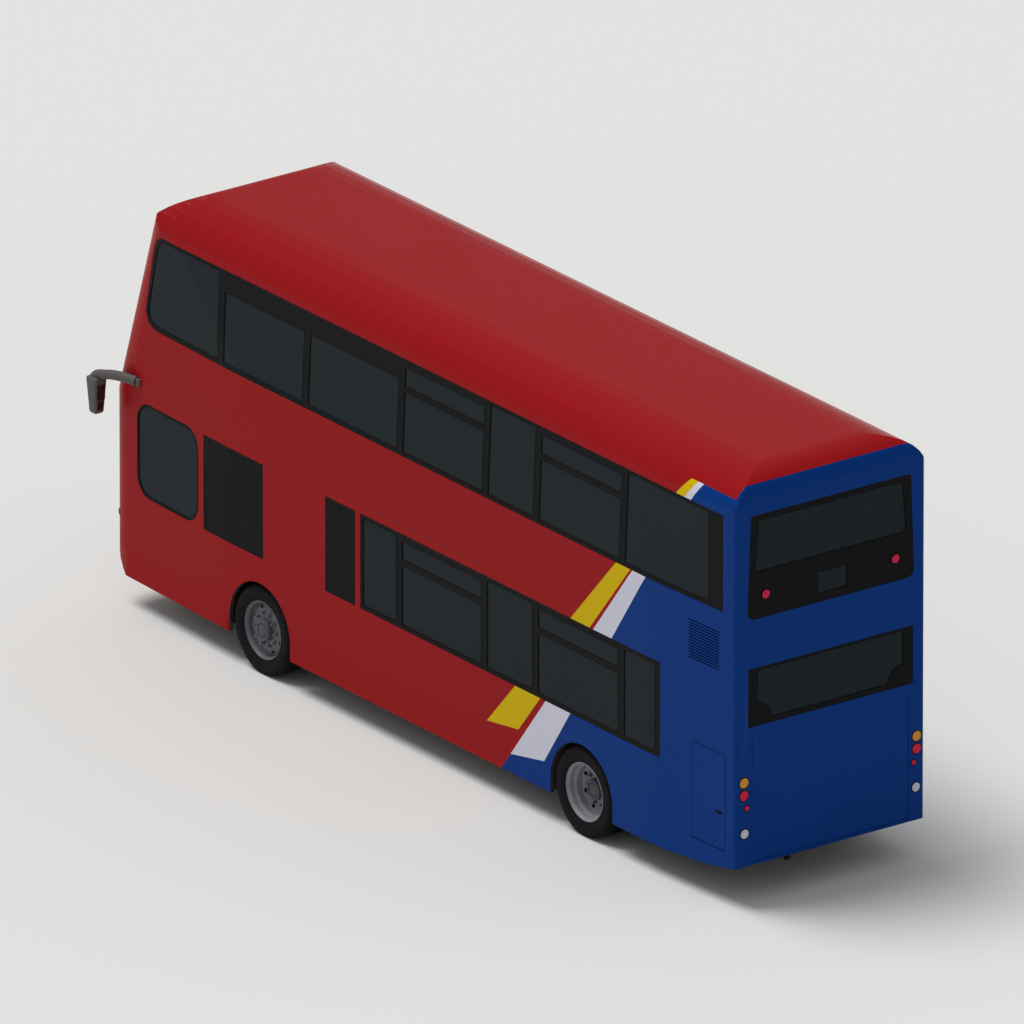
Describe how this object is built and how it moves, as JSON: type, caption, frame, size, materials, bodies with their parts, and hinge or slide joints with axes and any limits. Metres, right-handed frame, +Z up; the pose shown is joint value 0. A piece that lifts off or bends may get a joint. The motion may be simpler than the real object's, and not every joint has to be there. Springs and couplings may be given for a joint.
{
  "type": "double decker bus",
  "caption": "Two-deck city bus with raked upper screen, banded windows, low floor, entrance doors, stairs, seats, steered front wheels and twin rear wheels.",
  "frame": {"origin": "on the ground, at the middle of the whole length and width with the mirrors and lamps", "axes": "+X forward, +Y to the bus's left, +Z up"},
  "size_m": [10.4675, 2.759, 4.484],
  "materials": {
    "chassis_paint": "satin",
    "floor_vinyl": "matt",
    "red_paint": "gloss",
    "blue_paint": "gloss",
    "black_frame": "satin",
    "tinted_glass": "gloss",
    "clear_glass": "gloss",
    "bumper_plastic": "satin",
    "clear_lamp": "gloss",
    "red_lamp": "gloss",
    "amber_lamp": "gloss",
    "white_lamp": "gloss",
    "mirror_plastic": "satin",
    "mirror_silver": "gloss",
    "seat_moquette": "matt",
    "yellow_pole": "gloss",
    "cab_plastic": "matt",
    "driver_fabric": "matt",
    "black_plastic": "satin",
    "cast_steel": "rough",
    "wheel_steel": "satin",
    "tyre_rubber": "matt",
    "cast_iron": "rough"
  },
  "bodies": {
    "body": {"chassis_frame": "chassis_paint", "lower_floor": "floor_vinyl", "upper_floor": "floor_vinyl", "left_lower_side": "red_paint", "right_lower_side": "red_paint", "left_upper_side": "red_paint", "right_upper_side": "red_paint", "roof": "red_paint", "front_lower_panel": "red_paint", "front_upper_panel": "red_paint", "rear_panel": "blue_paint", "lower_window_frames": "black_frame", "upper_window_frames": "black_frame", "lower_window_glass": "tinted_glass", "upper_window_glass": "tinted_glass", "windscreens": "clear_glass", "destination_display": "black_frame", "front_bumper": "red_paint", "headlamps": "clear_lamp", "wipers": "black_frame", "mirrors": "mirror_plastic", "rear_lamps": "red_lamp", "staircase": "floor_vinyl", "passenger_seats": "seat_moquette", "handrails": "yellow_pole", "driver_cab": "cab_plastic", "driver_seat": "driver_fabric", "front_axle": "chassis_paint", "rear_axle": "chassis_paint", "engine_block": "cast_iron"},
    "steering_wheel": {"steering_wheel": "black_plastic"},
    "engine_lid": {"engine_lid": "blue_paint"},
    "service_door": {"service_door": "blue_paint"},
    "front_door_leaf": {"front_door_leaf": "black_frame"},
    "rear_door_leaf": {"rear_door_leaf": "black_frame"},
    "left_knuckle": {"left_knuckle": "cast_steel"},
    "right_knuckle": {"right_knuckle": "cast_steel"},
    "front_left_wheel": {"front_left_wheel": "wheel_steel", "front_left_tyre": "tyre_rubber"},
    "front_right_wheel": {"front_right_wheel": "wheel_steel", "front_right_tyre": "tyre_rubber"},
    "rear_left_wheels": {"rear_left_wheels": "wheel_steel", "rear_left_tyres": "tyre_rubber"},
    "rear_right_wheels": {"rear_right_wheels": "wheel_steel", "rear_right_tyres": "tyre_rubber"}
  },
  "joints": [
    {"name": "left_steer", "type": "hinge", "parent": "body", "child": "left_knuckle", "pos_m": [2.531, 0.9, 0.466], "axis": [0, 0, 1], "range_deg": [-40, 40]},
    {"name": "right_steer", "type": "hinge", "parent": "body", "child": "right_knuckle", "pos_m": [2.531, -0.9, 0.466], "axis": [0, 0, 1], "range_deg": [-40, 40]},
    {"name": "steering_wheel_turn", "type": "hinge", "parent": "body", "child": "steering_wheel", "pos_m": [4.463, 0.7, 1.23], "axis": [-0.5, 0, 0.866], "range_deg": [-720, 720]},
    {"name": "front_left_spin", "type": "hinge", "parent": "left_knuckle", "child": "front_left_wheel", "pos_m": [2.531, 1.058, 0.466], "axis": [0, 1, 0], "continuous": true},
    {"name": "front_right_spin", "type": "hinge", "parent": "right_knuckle", "child": "front_right_wheel", "pos_m": [2.531, -1.058, 0.466], "axis": [0, 1, 0], "continuous": true},
    {"name": "rear_left_spin", "type": "hinge", "parent": "body", "child": "rear_left_wheels", "pos_m": [-2.793, 1.058, 0.466], "axis": [0, 1, 0], "continuous": true},
    {"name": "rear_right_spin", "type": "hinge", "parent": "body", "child": "rear_right_wheels", "pos_m": [-2.793, -1.058, 0.466], "axis": [0, 1, 0], "continuous": true},
    {"name": "engine_lid_hinge", "type": "hinge", "parent": "body", "child": "engine_lid", "pos_m": [-5.221, 0, 1.754], "axis": [0, 1, 0], "range_deg": [0, 80]},
    {"name": "service_door_hinge", "type": "hinge", "parent": "body", "child": "service_door", "pos_m": [-4.544, 1.17637, 1.075], "axis": [0, 0, -1], "range_deg": [0, 100]},
    {"name": "front_leaf_hinge", "type": "hinge", "parent": "body", "child": "front_door_leaf", "pos_m": [4.637, -1.097, 1.346], "axis": [0, 0, -1], "range_deg": [0, 88]},
    {"name": "rear_leaf_hinge", "type": "hinge", "parent": "body", "child": "rear_door_leaf", "pos_m": [3.479, -1.13507, 1.346], "axis": [0, 0, 1], "range_deg": [0, 88]}
  ],
  "couplings": [
    {"joint": "right_steer", "follows": "left_steer", "ratio": 1},
    {"joint": "steering_wheel_turn", "follows": "left_steer", "ratio": 18},
    {"joint": "rear_leaf_hinge", "follows": "front_leaf_hinge", "ratio": 1}
  ]
}
